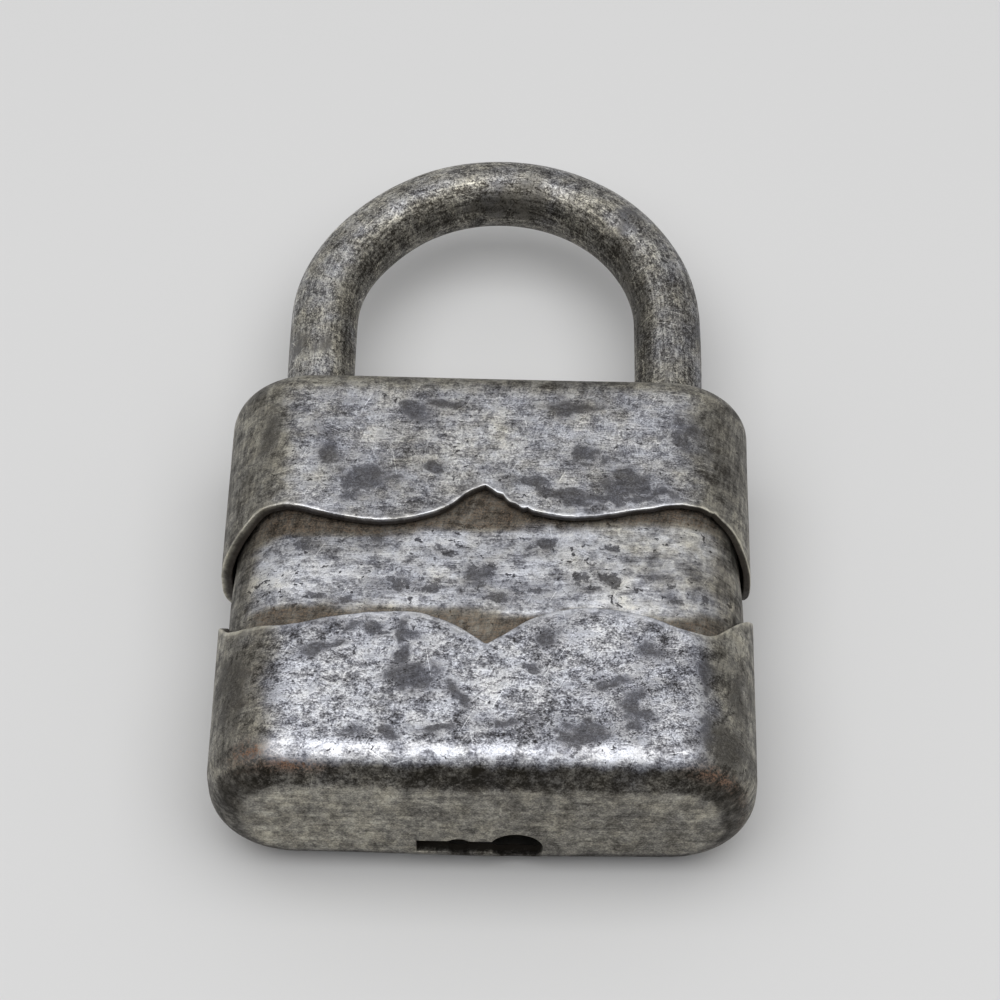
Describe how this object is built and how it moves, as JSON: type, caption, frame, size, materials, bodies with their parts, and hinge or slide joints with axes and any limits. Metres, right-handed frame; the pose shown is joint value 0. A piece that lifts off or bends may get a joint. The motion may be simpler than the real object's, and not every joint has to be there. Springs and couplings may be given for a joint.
{
  "type": "padlock",
  "caption": "Closed pressed-steel lever padlock with a thick round shackle, wavy-edged end caps over an inner case, and an offset keyhole in its end.",
  "frame": {"origin": "middle of the closed padlock's footprint, on the surface that it lies on", "axes": "+Y along the body towards the shackle, +Z out of the front, +X to the right seen from the front"},
  "size_m": [0.06, 0.0936, 0.021],
  "materials": {
    "cap_steel": "worn bare drawn steel, mottled dark patina, fine scratches",
    "case_steel": "worn bare steel sheet with brown patina beside the caps",
    "shackle_steel": "worn dark steel bar with lengthwise streaks",
    "works_steel": "dull oiled steel plate",
    "works_brass": "dull brass",
    "spring_steel": "blued spring steel"
  },
  "bodies": {
    "case": {"top_cap": "cap_steel", "inner_case": "case_steel", "bottom_cap": "cap_steel", "base_plate": "works_steel", "lower_plate": "works_steel", "upper_plate": "works_steel", "plate_posts": "works_steel", "heel_pin": "works_steel", "front_rail": "works_steel", "tail_rail": "works_steel", "head_rail": "works_steel", "rail_rivets": "works_steel", "lever_post": "works_steel", "lever_spacers": "works_brass", "ward_ring": "works_brass"},
    "shackle": {"shackle": "shackle_steel"},
    "bolt": {"bolt": "works_steel"},
    "lever_1": {"lever_1": "works_brass", "lever_spring_1": "spring_steel"},
    "lever_2": {"lever_2": "works_brass", "lever_spring_2": "spring_steel"},
    "lever_3": {"lever_3": "works_brass", "lever_spring_3": "spring_steel"},
    "lever_4": {"lever_4": "works_brass", "lever_spring_4": "spring_steel"}
  },
  "joints": [
    {"name": "shackle_lift", "type": "slide", "parent": "case", "child": "shackle", "axis": [0, 1, 0], "range_m": [0, 0.0125]},
    {"name": "bolt_throw", "type": "slide", "parent": "case", "child": "bolt", "axis": [1, 0, 0], "range_m": [0, 0.0045]},
    {"name": "lever_1_lift", "type": "hinge", "parent": "case", "child": "lever_1", "pos_m": [-0.012, -0.00265, 0.007], "axis": [0, -1, 0], "range_deg": [0, 5.1], "stiffness_Nm_per_rad": 0.01, "springref_deg": -28.65, "deforming": ["lever_spring_1"]},
    {"name": "lever_2_lift", "type": "hinge", "parent": "case", "child": "lever_2", "pos_m": [-0.012, -0.00525, 0.007], "axis": [0, -1, 0], "range_deg": [0, 5.1], "stiffness_Nm_per_rad": 0.01, "springref_deg": -28.65, "deforming": ["lever_spring_2"]},
    {"name": "lever_3_lift", "type": "hinge", "parent": "case", "child": "lever_3", "pos_m": [-0.012, -0.00785, 0.007], "axis": [0, -1, 0], "range_deg": [0, 5.1], "stiffness_Nm_per_rad": 0.01, "springref_deg": -28.65, "deforming": ["lever_spring_3"]},
    {"name": "lever_4_lift", "type": "hinge", "parent": "case", "child": "lever_4", "pos_m": [-0.012, -0.01045, 0.007], "axis": [0, -1, 0], "range_deg": [0, 5.1], "stiffness_Nm_per_rad": 0.01, "springref_deg": -28.65, "deforming": ["lever_spring_4"]}
  ],
  "couplings": [
    {"joint": "lever_1_lift", "follows": "bolt_throw", "rad_per_m": 19.78},
    {"joint": "lever_2_lift", "follows": "bolt_throw", "rad_per_m": 19.78},
    {"joint": "lever_3_lift", "follows": "bolt_throw", "rad_per_m": 19.78},
    {"joint": "lever_4_lift", "follows": "bolt_throw", "rad_per_m": 19.78}
  ]
}
